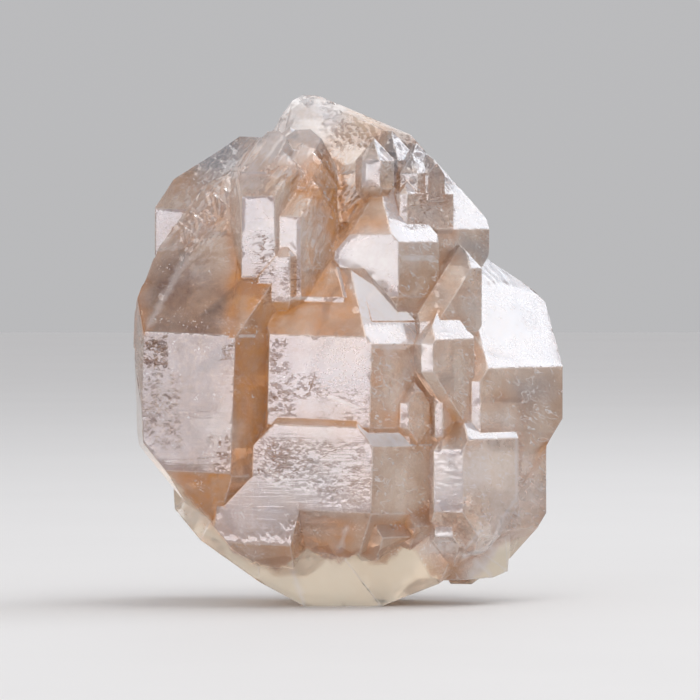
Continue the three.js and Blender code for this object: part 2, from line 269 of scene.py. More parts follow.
def facing_front(normals):
    """1 where a face looks forward, 0 where it looks aside or back."""
    return ramp(-normals[:, 1], 0.02, 0.3)


def fineness(points):
    """Which of GRIDS each point of the front needs."""
    level = np.zeros(len(points), dtype=int)
    moved = shaken(points)
    for item in RELIEF:
        inside = in_box(moved, item["box"]) > 0.05
        level[inside] = np.maximum(level[inside], KINDS[item["kind"]][1])
    level[white_lines(points) > 0.0] = len(GRIDS) - 1
    return level


def flat_polygons(node):
    """Corners in mm, each edge's ends and bend, and each flat face's corners, edges and normal."""
    shape = bmesh.new()
    shape.from_mesh(node.data)
    bmesh.ops.scale(shape, vec=(1 / MM,) * 3, verts=shape.verts)
    bmesh.ops.remove_doubles(shape, verts=shape.verts, dist=WELD)
    bmesh.ops.dissolve_limit(shape, angle_limit=FLAT_ENOUGH, verts=shape.verts, edges=shape.edges)
    shape.normal_update()
    shape.verts.index_update()
    shape.edges.index_update()
    corners = np.array([vert.co for vert in shape.verts])
    edges = []
    for edge in shape.edges:
        ends = edge.verts[0].index, edge.verts[1].index
        edges.append((ends, edge.calc_face_angle_signed(math.pi)))
    faces = []
    for face in shape.faces:
        around = [(loop.vert.index, loop.edge.index) for loop in face.loops]
        faces.append((around, np.array(face.normal)))
    shape.free()
    return corners, edges, faces


def cut_edges(corners, edges):
    """Cuts every edge into short steps. Returns all the points, and for each edge its points in order."""
    points = [corners]
    count = len(corners)
    chains = []
    for (a, b), _ in edges:
        start, end = corners[a], corners[b]
        seen = min(start[1], end[1]) < SEEN_EDGE_Y
        step = EDGE_STEP if seen else 2.0 * EDGE_STEP
        cuts = int(np.linalg.norm(end - start) / step)
        shares = np.arange(1, cuts + 1)[:, None] / (cuts + 1)
        points.append(start + (end - start) * shares)
        chains.append([a, *range(count, count + cuts), b])
        count += cuts
    return np.concatenate(points), chains


def outline_of(around, chains):
    """The point numbers round a face, and for each the number of the edge that follows it."""
    numbers, sides = [], []
    for corner, edge in around:
        chain = chains[edge] if chains[edge][0] == corner else chains[edge][::-1]
        numbers += chain[:-1]
        sides += [edge] * (len(chain) - 1)
    return numbers, sides


def inside_polygon(points, outline):
    """True for each 2-D point that lies inside the outline."""
    ends = np.roll(outline, -1, axis=0)
    crossed = np.zeros(len(points), dtype=bool)
    for (x0, y0), (x1, y1) in zip(outline, ends):
        between = (y0 > points[:, 1]) != (y1 > points[:, 1])
        if not between.any():
            continue
        at = x0 + (points[:, 1] - y0) * (x1 - x0) / (y1 - y0 if y1 != y0 else 1.0)
        crossed ^= between & (points[:, 0] < at)
    return crossed


def distance_to_sides(points, starts, ends):
    """Shortest distance from each 2-D point to any of the sides."""
    nearest = np.full(len(points), NO_EDGE_NEAR ** 2)
    for start, end in zip(starts, ends):
        side = end - start
        length = side @ side
        along = (points - start) @ side
        share = np.clip(along / length, 0.0, 1.0) if length > 0 else np.zeros(len(points))
        gap = points - start - share[:, None] * side
        np.minimum(nearest, np.einsum("ij,ij->i", gap, gap), out=nearest)
    return np.sqrt(nearest)


def grid_inside(low, high, step, rng):
    """Points of a slightly shaken triangular grid over a 2-D box."""
    rows = np.arange(low[1], high[1], step * ROW_SPACING)
    columns = np.arange(low[0], high[0], step)
    if not len(rows) or not len(columns):
        return np.zeros((0, 2))
    x, y = np.meshgrid(columns, rows)
    x = x + (np.arange(len(rows)) % 2)[:, None] * step / 2
    grid = np.stack([x.ravel(), y.ravel()], axis=1)
    return grid + rng.uniform(-GRID_SHAKE, GRID_SHAKE, grid.shape) * step


def fill_face(points, around, normal, chains, edges, rng):
    """Triangles over one flat face. Returns them, where their corners came from, the numbers of the points
    round the face, the new points, and how far each new point is from a sharp side."""
    numbers, sides = outline_of(around, chains)
    rim = points[numbers]
    right = np.cross(normal, (0.0, 0.0, 1.0) if abs(normal[2]) < 0.9 else (1.0, 0.0, 0.0))
    right /= np.linalg.norm(right)
    up = np.cross(normal, right)
    origin = rim[0]
    flat_rim = np.stack([(rim - origin) @ right, (rim - origin) @ up], axis=1)
    following = np.roll(flat_rim, -1, axis=0)
    sharp = np.array([abs(edges[side][1]) > SHARP_BEND for side in sides])

    def solid(flat):
        return origin + flat[:, :1] * right + flat[:, 1:] * up

    shown = normal[1] < TURNED_BACK and rim[:, 1].min() < SEEN_FACE_Y
    inner = [edge_band(flat_rim, following, sharp)]
    for level, step in enumerate(GRIDS if shown else (COARSE,)):
        grid = grid_inside(flat_rim.min(axis=0), flat_rim.max(axis=0), step, rng)
        if shown and len(grid):
            grid = grid[fineness(solid(grid)) == level]
        grid = grid[inside_polygon(grid, flat_rim)]
        inner.append(grid[distance_to_sides(grid, flat_rim, following) > max(0.5 * step, EDGE_BAND)])
    inner = np.concatenate(inner)
    gap = distance_to_sides(inner, flat_rim[sharp], following[sharp])
    flat = np.concatenate([flat_rim, inner])
    _, _, triangles, came_from, _, _ = delaunay_2d_cdt(
        [Vector(p) for p in flat], [], [list(range(len(flat_rim)))], 1, CUT_TOLERANCE)
    return triangles, came_from, numbers, solid(inner), gap


def edge_band(starts, ends, sharp):
    """A row of points just inside each sharp side, so that a worn edge has its own narrow band."""
    sides = ends - starts
    lengths = np.linalg.norm(sides, axis=1)
    usable = sharp & (lengths > 0.3 * EDGE_STEP)
    if not usable.any():
        return np.zeros((0, 2))
    along = sides[usable] / lengths[usable][:, None]
    inward = np.stack([-along[:, 1], along[:, 0]], axis=1)
    band = (starts[usable] + ends[usable]) / 2 + inward * EDGE_BAND
    band = band[inside_polygon(band, starts)]
    if not len(band):
        return band
    return band[distance_to_sides(band, starts, ends) > 0.8 * EDGE_BAND]


def fine_mesh(node):
    """The node's faces cut finely: points in mm, triangles, each point's normal, and how far it is from a
    sharp edge and from a hollow corner."""
    corners, edges, faces = flat_polygons(node)
    points, chains = cut_edges(corners, edges)
    hollow = [chain for chain, (_, bend) in zip(chains, edges) if bend < -SHARP_BEND]
    hollow_points = points[[number for chain in hollow for number in chain]]
    rng = np.random.default_rng(GRID_SEED)
    extra, gaps, triangles, triangle_normals = [], [np.zeros(len(points))], [], []
    count = len(points)
    for around, normal in faces:
        cut, came_from, numbers, inner, gap = fill_face(points, around, normal, chains, edges, rng)
        own = []
        for sources in came_from:
            source = sources[0] if sources else 0
            own.append(numbers[source] if source < len(numbers) else count + source - len(numbers))
        for triangle in cut:
            a, b, c = (own[corner] for corner in triangle)
            if len({a, b, c}) == 3:
                triangles.append((a, b, c))
                triangle_normals.append(normal)
        extra.append(inner)
        gaps.append(gap)
        count += len(inner)
    all_points = np.concatenate([points, *extra])
    normals = mean_normals(len(all_points), np.array(triangles), np.array(triangle_normals))
    return all_points, triangles, normals, np.concatenate(gaps), distance_to(hollow_points, all_points)


def mean_normals(count, triangles, triangle_normals):
    """For each point, the mean normal of the faces that it is on."""
    normals = np.zeros((count, 3))
    for corner in range(3):
        np.add.at(normals, triangles[:, corner], triangle_normals)
    lengths = np.linalg.norm(normals, axis=1)
    return normals / np.where(lengths > 0, lengths, 1.0)[:, None]


def distance_to(targets, points):
    """Distance from each point to the nearest target."""
    tree = KDTree(len(targets))
    for number, target in enumerate(targets):
        tree.insert(target, number)
    tree.balance()
    return np.array([tree.find(point)[2] for point in points])


# Wear in mm: chips and nicks along the edges, their rims, and the melted edges of the feathered slopes
CHIP_DEPTH = 0.35
NICK_DEPTH = 0.14
RIM_DEPTH = 0.05
MELTED_DEPTH = 0.45


def worn(points, gap, hollow):
    """How far a point near an outer edge is worn back, in mm, with a chip here and there."""
    near = 1.0 - ramp(gap, 0.0, 0.7)
    chip = ramp(smooth_noise(points, 2.2, 81), 0.5, 0.85) * CHIP_DEPTH
    nick = ramp(smooth_noise(points, 0.9, 82), 0.5, 0.85) * NICK_DEPTH
    rim = (1.0 - ramp(gap, 0.0, EDGE_BAND)) * RIM_DEPTH
    melted = (1.0 - ramp(gap, 0.0, 1.3)) * MELTED_DEPTH * np.clip(spots(points, FEATHERED), 0.0, 1.0)
    return (near * (chip + nick) + rim + melted) * ramp(hollow, 0.2, 0.8)


def relief(points, normals, gap, hollow):
    """How far each point moves out (or in, if negative) along its normal in mm."""
    fade = ramp(gap, 0.0, 0.8)
    facing = facing_front(normals)
    moved = shaken(points)
    height = 0.02 * smooth_noise(points, 6.0, 91) * fade
    for item in RELIEF:
        weight = in_box(moved, item["box"]) * fade * facing
        touched = weight > 0.001
        if not touched.any():
            continue
        height[touched] += weight[touched] * KINDS[item["kind"]][0](points[touched], **item)
    return height - worn(points, gap, hollow)


# Least bends that are shaded as sharp, at the rims of the faces and in relief
CRISP = math.radians(11)
ROUGH = math.radians(36)


def mark_sharp(mesh, gap):
    """Crisp shading at the worn rims of the faces, and smoother shading in rough relief."""
    sharp = {}
    for angle in (CRISP, ROUGH):
        mesh.set_sharp_from_angle(angle=angle)
        sharp[angle] = np.zeros(len(mesh.edges), dtype=bool)
        mesh.attributes["sharp_edge"].data.foreach_get("value", sharp[angle])
    ends = np.zeros(len(mesh.edges) * 2, dtype=np.int64)
    mesh.edges.foreach_get("vertices", ends)
    at_rim = (gap[ends.reshape(-1, 2)] < 1.3 * EDGE_BAND).all(axis=1)
    chosen = np.where(at_rim, sharp[CRISP], sharp[ROUGH])
    mesh.attributes["sharp_edge"].data.foreach_set("value", chosen)


def placed(name, data):
    """A new object in the scene, with the given mesh, lamp or camera."""
    item = bpy.data.objects.new(name, data)
    bpy.context.scene.collection.objects.link(item)
    return item


def detailed_crystal(node):
    """The crystal with its relief, worn edges and colour zones."""
    points, triangles, normals, gap, hollow = fine_mesh(node)
    height = relief(points, normals, gap, hollow)
    moved = points + normals * height[:, None]
    foot = points[:, 2] < FOOT_HEIGHT
    moved[foot, 2] = points[foot, 2]
    moved[:, 2] = np.maximum(moved[:, 2], 0.0)
    mesh = bpy.data.meshes.new("quartz_surface")
    mesh.from_pydata(moved * MM, [], triangles)
    mesh.shade_smooth()
    mark_sharp(mesh, gap)
    paint(mesh, moved, normals, gap, hollow)
    mark_stepped(mesh, points, np.array(triangles))
    return placed("quartz_crystal", mesh)


def number_attribute(mesh, name, values):
    attribute = mesh.attributes.new(name, "FLOAT", "POINT")
    attribute.data.foreach_set("value", np.asarray(values, dtype=np.float32))


# Colour zones seen on the front: middle and radius in pixels of the photograph, and strength.
ORANGE = [
    (312, 168, 18, 2.2), (338, 224, 21, 2.2), (330, 200, 22, 0.7), (322, 186, 14, 0.6), (250, 280, 16, 1.0),
    (256, 302, 16, 1.0), (306, 190, 14, 0.6), (247, 348, 18, 1.3), (250, 380, 20, 1.3), (250, 410, 20, 1.3),
    (248, 450, 20, 1.4), (205, 498, 22, 1.5), (190, 485, 18, 1.3), (225, 485, 18, 1.3), (320, 421, 22, 0.7),
    (350, 420, 20, 0.7), (384, 418, 14, 0.9), (374, 380, 8, 1.0), (374, 352, 8, 0.7), (346, 532, 10, 1.0),
    (352, 300, 18, 0.7), (392, 300, 12, 0.4), (300, 320, 34, 0.9), (340, 325, 24, 0.8), (478, 352, 10, 0.7),
    (375, 225, 12, 0.8), (392, 222, 10, 0.9), (400, 530, 16, 0.4), (290, 552, 16, 0.7),
    (440, 410, 20, 0.35), (395, 365, 18, 0.2), (320, 285, 16, 0.4), (460, 290, 14, 0.3),
    (330, 540, 18, 0.9),
]
# Smoky brown zones; the strong one at (185, 400) is painted shade that darkens the front face of the left
# block
SMOKY_AND_SHADE = [
    (165, 300, 42, 0.8), (195, 270, 40, 0.7), (205, 310, 40, 0.8), (185, 400, 56, 1.6), (245, 345, 16, 0.8),
    (300, 500, 70, 0.35), (255, 410, 20, 0.35), (470, 308, 14, 0.6), (436, 300, 12, 0.5),
    (450, 575, 22, 0.6), (330, 552, 14, 0.4), (250, 560, 20, 0.5), (340, 122, 14, 0.3), (372, 205, 14, 0.5),
    (395, 170, 12, 0.4), (430, 212, 16, 0.35), (200, 505, 18, 0.5), (385, 405, 16, 0.2),
    (532, 385, 16, 0.45), (262, 235, 12, 0.2), (300, 322, 34, 0.35), (345, 325, 24, 0.3),
    (540, 410, 34, 0.6), (290, 470, 50, 0.25), (350, 290, 14, 0.4), (410, 520, 18, 0.3),
    (295, 550, 20, 0.4), (214, 150, 18, 0.3),
]
# Milky zones; the three strong ones on the facet under the overhang, at (366, 288), (380, 304) and (398,
# 314), are a painted highlight
MILKY_AND_HIGHLIGHT = [
    (304, 104, 30, 1.0), (300, 130, 26, 1.0), (296, 120, 30, 0.6), (386, 244, 20, 0.5), (258, 225, 24, 0.5),
    (290, 240, 22, 0.5), (362, 252, 18, 0.9), (386, 266, 14, 0.9), (366, 288, 12, 1.0), (380, 304, 13, 1.0),
    (398, 314, 12, 1.0), (500, 320, 50, 0.5), (250, 180, 14, 0.5), (404, 160, 8, 0.5), (447, 538, 18, 1.0),
    (448, 478, 24, 1.0), (490, 470, 32, 0.6), (414, 184, 12, 0.4), (235, 165, 20, 0.4), (490, 560, 24, 0.6),
    (390, 346, 12, 0.7), (505, 422, 18, 0.6), (475, 418, 10, 0.7), (535, 500, 26, 0.6), (470, 205, 20, 0.4),
    (330, 110, 14, 0.5), (270, 150, 26, 0.5), (500, 520, 20, 0.6), (340, 350, 40, 0.3), (430, 335, 10, 0.9),
    (428, 358, 12, 0.7), (370, 168, 10, 0.9), (350, 160, 14, 0.3), (200, 230, 20, 0.4),
    (420, 225, 24, 0.45), (400, 390, 26, 0.3), (212, 196, 30, 0.25), (296, 112, 24, 0.8),
]
CLEAR = [
    (310, 478, 56, 0.55), (214, 152, 22, 1.0), (470, 246, 16, 0.7), (498, 264, 18, 0.9),
    (532, 385, 16, 0.5), (446, 385, 18, 0.25), (430, 212, 18, 0.4), (424, 158, 16, 0.6),
    (390, 145, 12, 0.4), (440, 290, 12, 0.3), (252, 130, 18, 0.5), (226, 158, 18, 0.7), (200, 160, 14, 0.8),
    (402, 152, 22, 0.7), (440, 175, 18, 0.6), (420, 240, 22, 0.3),
]
FEATHERED = [
    (212, 200, 34, 1.0), (224, 160, 22, 0.6), (268, 150, 30, 1.0), (300, 175, 26, 0.9), (330, 185, 30, 1.0),
    (322, 235, 30, 1.0), (350, 165, 22, 0.7), (190, 240, 26, 0.6), (312, 270, 14, 0.4),
]
# Painted shade on the upright front faces alone, which darkens the front face of the left block
PAINTED_SHADE = [
    (160, 360, 42, 0.7), (208, 362, 40, 0.7), (162, 430, 42, 0.7), (208, 440, 40, 0.8),
]
# The upper edge of the pale root, as pixels of the photograph: it runs round the tips of the teeth
ROOT_EDGE = [
    (165, 468), (176, 480), (190, 496), (212, 521), (220, 534), (236, 552), (262, 562), (277, 569),
    (308, 547), (322, 556), (339, 563), (350, 556), (358, 551), (370, 560), (381, 567), (392, 556),
    (402, 547), (415, 550), (424, 566), (440, 584), (466, 586), (482, 572), (500, 548), (520, 540),
]


def spots(points, zones):
    """Sum of soft round zones, fading towards the back."""
    total = np.zeros(len(points))
    wander = points + 1.8 * smooth_noise(points, 5.0, 101)[:, None]
    for px, py, radius, strength in zones:
        x, z = to_mm(px, py)
        away = ((wander[:, 0] - x) ** 2 + (wander[:, 2] - z) ** 2) / (radius / PX_PER_MM) ** 2
        total += strength * np.exp(-away)
    behind = ramp(points[:, 1], 10.0, 22.0)
    return total * (1.0 - 0.7 * behind)


def cloudy(points, size, seed):
    """Cloud-like noise from 0 to 1."""
    both = smooth_noise(points, size, seed) + 0.5 * smooth_noise(points, size * 0.45, seed + 1)
    return 0.5 + both / 3.0


def rootness(points):
    """1 below the upper edge of the root, 0 above it."""
    x, z = to_mm(*np.array(ROOT_EDGE, dtype=float).T)
    line = np.interp(points[:, 0], x, z)
    return ramp(line + 0.3 * smooth_noise(points, 1.5, 111) - points[:, 2], -0.2, 0.3)


def zone(points, normals, kind):
    """From 0 to 1 how much of a kind of relief lies at each point. On the back it comes in patches."""
    moved = shaken(points)
    own = [item for item in RELIEF if item["kind"] == kind]
    inside = np.max([in_box(moved, item["box"]) * item.get("brown", 1.0) for item in own], axis=0)
    patches = ramp(cloudy(points, 11.0, 141), 0.62, 0.78) * ramp(normals[:, 1], 0.1, 0.3)
    patches *= 1.0 - rootness(points)
    return np.maximum(inside * facing_front(normals), patches)


def paint(mesh, points, normals, gap, hollow):
    """Writes the colour zones as number attributes, which the material reads."""
    back = ramp(points[:, 1], 0.0, 12.0)
    etched = max_over_sides(normals, (1, 3, 5))
    # Hollow corners: the smoke share below is painted shade in the crevices, the orange share a real iron
    # stain
    corner = (1.0 - ramp(hollow, 0.1, 2.4)) * (0.35 + 0.65 * cloudy(points, 5.0, 129))
    smoke_and_shade = spots(points, SMOKY_AND_SHADE) + 0.4 * back * cloudy(points, 14.0, 121) + 0.6 * corner
    orange = spots(points, ORANGE) * (0.6 + 0.6 * cloudy(points, 3.0, 123)) + 0.9 * corner
    orange += 0.25 * back * ramp(cloudy(points, 8.0, 125), 0.6, 0.9)
    milk_and_highlight = spots(points, MILKY_AND_HIGHLIGHT) + 0.3 * ramp(cloudy(points, 6.0, 127), 0.55, 0.9)
    feather = np.clip(spots(points, FEATHERED) * (1.0 - etched) * (1.0 - 0.85 * np.clip(orange, 0, 1)), 0, 1)
    # Outer edges: a whitened rim that is partly wear and partly a painted highlight
    edge = (1.0 - ramp(gap, 0.0, 1.2 * EDGE_BAND)) * ramp(hollow, 0.3, 1.0) * (1.0 - feather)
    stain_kept = 1.0 - 0.6 * etched
    # Adds painted shade on the upright front faces of the left block to the smoke
    smoke_and_shade = smoke_and_shade * stain_kept + spots(points, PAINTED_SHADE) * etched
    # Brown prism faces that get painted glints, stronger towards the right
    glint_sides = max_over_sides(normals, (2, 4, 6)) * (0.15 + 0.85 * ramp(points[:, 0], -14.0, 2.0))
    zones = {
        "smoke_and_shade": np.clip(smoke_and_shade, 0, 1),
        "orange": np.clip(orange * stain_kept * stain_kept, 0, 1),
        "milk_and_highlight": np.clip(milk_and_highlight, 0, 1),
        "clear": np.clip(spots(points, CLEAR), 0, 1),
        "feather": feather,
        "white_line": white_lines(points),
        "etched": etched,
        # Painted sheen: the rhomb faces that mirror the back lamp
        "painted_sheen": like_face(normals, face_normal(2, 1)),
        "pitted": zone(points, normals, "pits"),
        "creased": zone(points, normals, "creases"),
        "glint_sides": glint_sides,
        "edge": edge,
        "upright": 1.0 - ramp(np.abs(normals[:, 2]), 0.1, 0.3),
        "root": rootness(points),
    }
    for name, values in zones.items():
        number_attribute(mesh, name, values)


# The two facets under overhangs are finely stepped: a pixel box of the photograph round each
STEPPED_BOXES = [(346, 262, 422, 324), (350, 422, 412, 456)]
STEPPED_LEAN = 0.97


def mark_stepped(mesh, points, triangles):
    """Marks the triangles of the stepped facets."""
    a, b, c = (points[triangles[:, corner]] for corner in range(3))
    normals = np.cross(b - a, c - a)
    normals /= np.maximum(np.linalg.norm(normals, axis=1), 1e-9)[:, None]
    x, z = ((a + b + c) / 3)[:, 0], ((a + b + c) / 3)[:, 2]
    boxed = np.zeros(len(triangles), dtype=bool)
    for left, top, right, bottom in STEPPED_BOXES:
        x0, z1 = to_mm(left, top)
        x1, z0 = to_mm(right, bottom)
        boxed |= (x > x0) & (x < x1) & (z > z0) & (z < z1)
    stepped = boxed & (normals @ face_normal(2, 1) > STEPPED_LEAN)
    mesh.attributes.new("stepped", "FLOAT", "FACE").data.foreach_set("value", stepped.astype(np.float32))


def like_face(normals, face):
    """1 where a normal lies along that of a face, else 0."""
    return ramp(normals @ face, *FACE_LIKE)


def max_over_sides(normals, sides):
    """1 on the prism faces of the given sides, else 0."""
    return np.max([like_face(normals, face_normal(side)) for side in sides], axis=0)


# Colours of the quartz and its marks, as linear red, green and blue
BROWN_PALE = (0.95, 0.81, 0.68, 1)
BROWN_DEEP = (0.64, 0.40, 0.24, 1)
# Smoky brown, also used for painted shade
SMOKE_AND_SHADE_BROWN = (0.19, 0.085, 0.05, 1)
IRON_ORANGE = (0.80, 0.30, 0.03, 1)
# Milky white, also used for painted highlights and glints
MILK_AND_HIGHLIGHT_WHITE = (0.97, 0.97, 0.99, 1)
# Cool white of the painted sheen
SHEEN_WHITE = (0.80, 0.86, 0.97, 1)
CLEAR_GREY = (0.34, 0.38, 0.44, 1)
LAVENDER = (0.66, 0.61, 0.69, 1)
BLUSH = (0.76, 0.63, 0.60, 1)
ETCH_BROWN = (0.24, 0.09, 0.03, 1)
BUBBLE_WHITE = (0.95, 0.93, 0.92, 1)
BUBBLE_TAN = (0.86, 0.72, 0.60, 1)
ROOT_CREAM = (1.0, 0.93, 0.77, 1)
ROOT_SHADE = (0.98, 0.86, 0.68, 1)
QUARTZ_IOR = 1.544
TRANSMISSION = 0.68
ABSORPTION = (0.91, 0.66, 0.44, 1)
ABSORPTION_PER_M = 10.0

# Roughness of hazy and of clear quartz, of the gloss over both, and of the bubbles in the healed cracks
HAZY = 0.16
GLASSY = 0.03
GLOSS = 0.04
BUBBLY = 0.35

# Degrees that the streaks lean to the right, how white a worn rim with its painted highlight is, and the fine
# surface pattern: the heights of its growth lines and grain, its strength, and its depth in metres
WISP_LEAN = 28.0
RIM_WEAR_AND_HIGHLIGHT = 0.5
GROWTH_LINES = 0.1
GRAIN = 0.02
PATTERN_STRENGTH = 0.6
PATTERN_DEPTH = 0.0001


class Nodes:
    """A material's node tree, with short calls for the nodes that are used here."""

    def __init__(self, name):
        self.material = bpy.data.materials.new(name)
        self.material.use_nodes = True
        self.tree = self.material.node_tree
        self.shader = self.tree.nodes["Principled BSDF"]
        self.output = self.tree.nodes["Material Output"]

    def feed(self, node, inputs):
        """Links each of these inputs of a node to a source, or sets its own value."""
        for name, value in inputs.items():
            if isinstance(value, bpy.types.NodeSocket):
                self.tree.links.new(value, node.inputs[name])
            else:
                node.inputs[name].default_value = value

    def add(self, kind, inputs, **settings):
        node = self.tree.nodes.new(kind)
        for key, value in settings.items():
            setattr(node, key, value)
        self.feed(node, inputs)
        return node

    def number(self, name):
        return self.add("ShaderNodeAttribute", {}, attribute_name=name).outputs["Fac"]

    def noise(self, scale, detail=4.0, roughness=0.55, distortion=0.0, lean=0.0):
        """Noise with so many lumps to a metre (a number, or one for each axis), leaning to the right."""
        scales = scale if isinstance(scale, tuple) else (scale,) * 3
        stretch = self.add("ShaderNodeMapping", {
            "Vector": self.add("ShaderNodeTexCoord", {}).outputs["Object"],
            "Scale": [1.0 / per_metre for per_metre in scales],
            "Rotation": (0.0, math.radians(lean), 0.0),
        }, vector_type="TEXTURE")
        return self.add("ShaderNodeTexNoise", {
            "Vector": stretch.outputs["Vector"], "Scale": 1.0, "Detail": detail,
            "Roughness": roughness, "Distortion": distortion,
        }).outputs["Fac"]

    def spread(self, source, low, high, to_low=0.0, to_high=1.0):
        """Maps one range of the source to another, held at the ends."""
        ends = {"From Min": low, "From Max": high, "To Min": to_low, "To Max": to_high}
        return self.add("ShaderNodeMapRange", {"Value": source, **ends}).outputs["Result"]

    def math(self, operation, a, b):
        return self.add("ShaderNodeMath", {0: a, 1: b}, operation=operation).outputs["Value"]

    def times(self, a, b):
        return self.math("MULTIPLY", a, b)

    def mix(self, factor, a, b):
        """Colour a (input 6) where the factor is 0, colour b (input 7) where it is 1."""
        return self.add("ShaderNodeMix", {0: factor, 6: a, 7: b}, data_type="RGBA").outputs[2]

    def contour(self, source, level, half_width):
        """1 where the source is near a level, which draws thin winding lines."""
        away = self.math("ABSOLUTE", self.math("SUBTRACT", source, level), 0.0)
        return self.spread(away, 0.3 * half_width, half_width, 1.0, 0.0)

    def most(self, sources):
        total = sources[0]
        for source in sources[1:]:
            total = self.math("MAXIMUM", total, source)
        return total

    def bump(self, height, strength, distance):
        inputs = {"Height": height, "Strength": strength, "Distance": distance}
        return self.add("ShaderNodeBump", inputs).outputs["Normal"]

    def turn_to(self, factor, normal, direction):
        """The normal (input 4) where the factor is 0, a fixed direction of the object (5) where it is 1."""
        fixed = self.add("ShaderNodeVectorTransform", {"Vector": direction}, vector_type="NORMAL",
                         convert_from="OBJECT", convert_to="WORLD").outputs["Vector"]
        return self.add("ShaderNodeMix", {0: factor, 4: normal, 5: fixed}, data_type="VECTOR").outputs[1]


def quartz_colour(made, etched):
    """Brown to pale body colour, with the zones and marks laid over it one after another."""
    body = made.mix(made.spread(made.noise(85.0, 5.0, 0.65), 0.38, 0.62), BROWN_PALE, BROWN_DEEP)
    mottle = made.spread(made.noise(160.0, 4.0, 0.65), 0.3, 0.7, 0.55, 1.0)
    fine = made.spread(made.noise(420.0, 3.0, 0.65), 0.35, 0.65, 0.6, 1.0)
    cloud = made.spread(made.noise(600.0, 3.0, 0.7), 0.35, 0.65, 0.7, 1.0)
    pale = made.mix(made.spread(made.noise(60.0, 3.0), 0.4, 0.62), LAVENDER, BLUSH)
    cream = made.mix(made.spread(made.noise(90.0, 4.0, 0.6), 0.35, 0.7), ROOT_CREAM, ROOT_SHADE)
    colour = made.mix(made.number("etched"), body, pale)
    # Smoky brown, with painted shade in hollow corners and on the left block's front face
    colour = made.mix(made.times(made.number("smoke_and_shade"), mottle), colour, SMOKE_AND_SHADE_BROWN)
    colour = made.mix(made.times(made.number("orange"), fine), colour, IRON_ORANGE)
    colour = made.mix(made.spread(made.noise(1100.0, 2.0, 0.7), 0.48, 0.66, 0.0, 0.35), colour, BROWN_DEEP)
    colour = made.mix(made.number("clear"), colour, CLEAR_GREY)
    # Milky white, with a painted highlight on the facet under the overhang
    colour = made.mix(made.times(made.number("milk_and_highlight"), cloud), colour, MILK_AND_HIGHLIGHT_WHITE)
    colour = made.mix(made.times(wisps(made), made.number("feather")), colour, MILK_AND_HIGHLIGHT_WHITE)
    # White marks: bubbles, inclusion lines, painted glints shaped like scratches, and lines that are partly
    # fractures and partly painted edge highlights
    white = made.most([specks(made), scratch_glints(made), veils(made), made.number("white_line")])
    colour = made.mix(white, colour, MILK_AND_HIGHLIGHT_WHITE)
    # Painted sheen: cool white on the rhomb faces that mirror the back lamp
    colour = made.mix(made.times(made.number("painted_sheen"), cloud), colour, SHEEN_WHITE)
    colour = made.mix(made.number("root"), colour, cream)
    colour = made.mix(made.most([etched, stray_fractures(made)]), colour, ETCH_BROWN)
    # Whitens the outer rims: wear and a painted highlight
    return made.mix(made.times(made.number("edge"), RIM_WEAR_AND_HIGHLIGHT), colour, MILK_AND_HIGHLIGHT_WHITE)


def etched_lines(made):
    """Small dark etch pits with thin outlines, and thin wavy creases that come and go."""
    field = made.noise((620.0, 620.0, 900.0), 1.5)
    pit = made.most([made.contour(field, 0.53, 0.04), made.spread(field, 0.64, 0.68)])
    crease = made.contour(made.noise((340.0, 340.0, 1000.0), 3.0, 0.6), 0.5, 0.026)
    present = made.spread(made.noise(320.0, 2.0), 0.40, 0.52, 0.0, 0.95)
    lines = made.most([made.times(pit, made.number("pitted")),
                       made.times(crease, made.number("creased"))])
    return made.times(lines, present)


def stray_fractures(made):
    """Long thin brown cracks, faint, on the upright pale faces."""
    line = made.contour(made.noise((110.0, 110.0, 330.0), 4.0, 0.6, 0.6), 0.5, 0.008)
    present = made.spread(made.noise(300.0, 1.0), 0.42, 0.54, 0.0, 0.4)
    return made.times(made.times(line, made.number("etched")), present)


def specks(made):
    """Clusters of tiny bright bubbles."""
    present = made.spread(made.noise(220.0, 2.0), 0.53, 0.63)
    return made.times(made.spread(made.noise(2300.0, 1.0), 0.62, 0.69), present)


def scratch_glints(made):
    """Clusters of short curved white lines on the brown prism faces: painted glints shaped like scratches."""
    line = made.contour(made.noise((360.0, 360.0, 1000.0), 1.0, 0.5, 0.5, WISP_LEAN), 0.56, 0.034)
    present = made.spread(made.noise(260.0, 2.0), 0.47, 0.54)
    return made.times(made.times(line, present), made.number("glint_sides"))


def wisps(made):
    """Long thin streaks that lean to the right as they rise."""
    return made.spread(made.noise((1000.0, 1000.0, 110.0), 3.0, 0.65, 0.7, WISP_LEAN), 0.46, 0.62, 0.0, 0.9)


def veils(made):
    """Thin broken white lines of inclusions."""
    line = made.contour(made.noise((170.0, 170.0, 260.0), 4.0, 0.65, 0.6), 0.5, 0.008)
    return made.times(line, made.spread(made.noise(80.0, 2.0), 0.54, 0.66, 0.0, 0.5))


def haze(made):
    """Roughness: hazy inside almost everywhere, glassy in the clear zones."""
    hazy = made.spread(made.noise(120.0, 3.0), 0.3, 0.7, 0.75 * HAZY, 1.15 * HAZY)
    return made.times(hazy, made.spread(made.number("clear"), 0.0, 1.0, 1.0, GLASSY / HAZY))


def surface(made, etched):
    """Faint level growth lines, a fine grain and hollow etched lines. The little treads of the stepped
    facets all lie parallel to the front prism face, so they flash together with that face."""
    lines = made.times(made.noise((110.0, 110.0, 2000.0), 2.0, 0.5), made.number("upright"))
    grain = made.noise(1300.0, 1.0)
    high = made.math("ADD", made.times(lines, GROWTH_LINES), made.times(grain, GRAIN))
    high = made.math("SUBTRACT", high, etched)
    normal = made.bump(high, PATTERN_STRENGTH, PATTERN_DEPTH)
    return made.turn_to(made.number("stepped"), normal, face_normal(1))


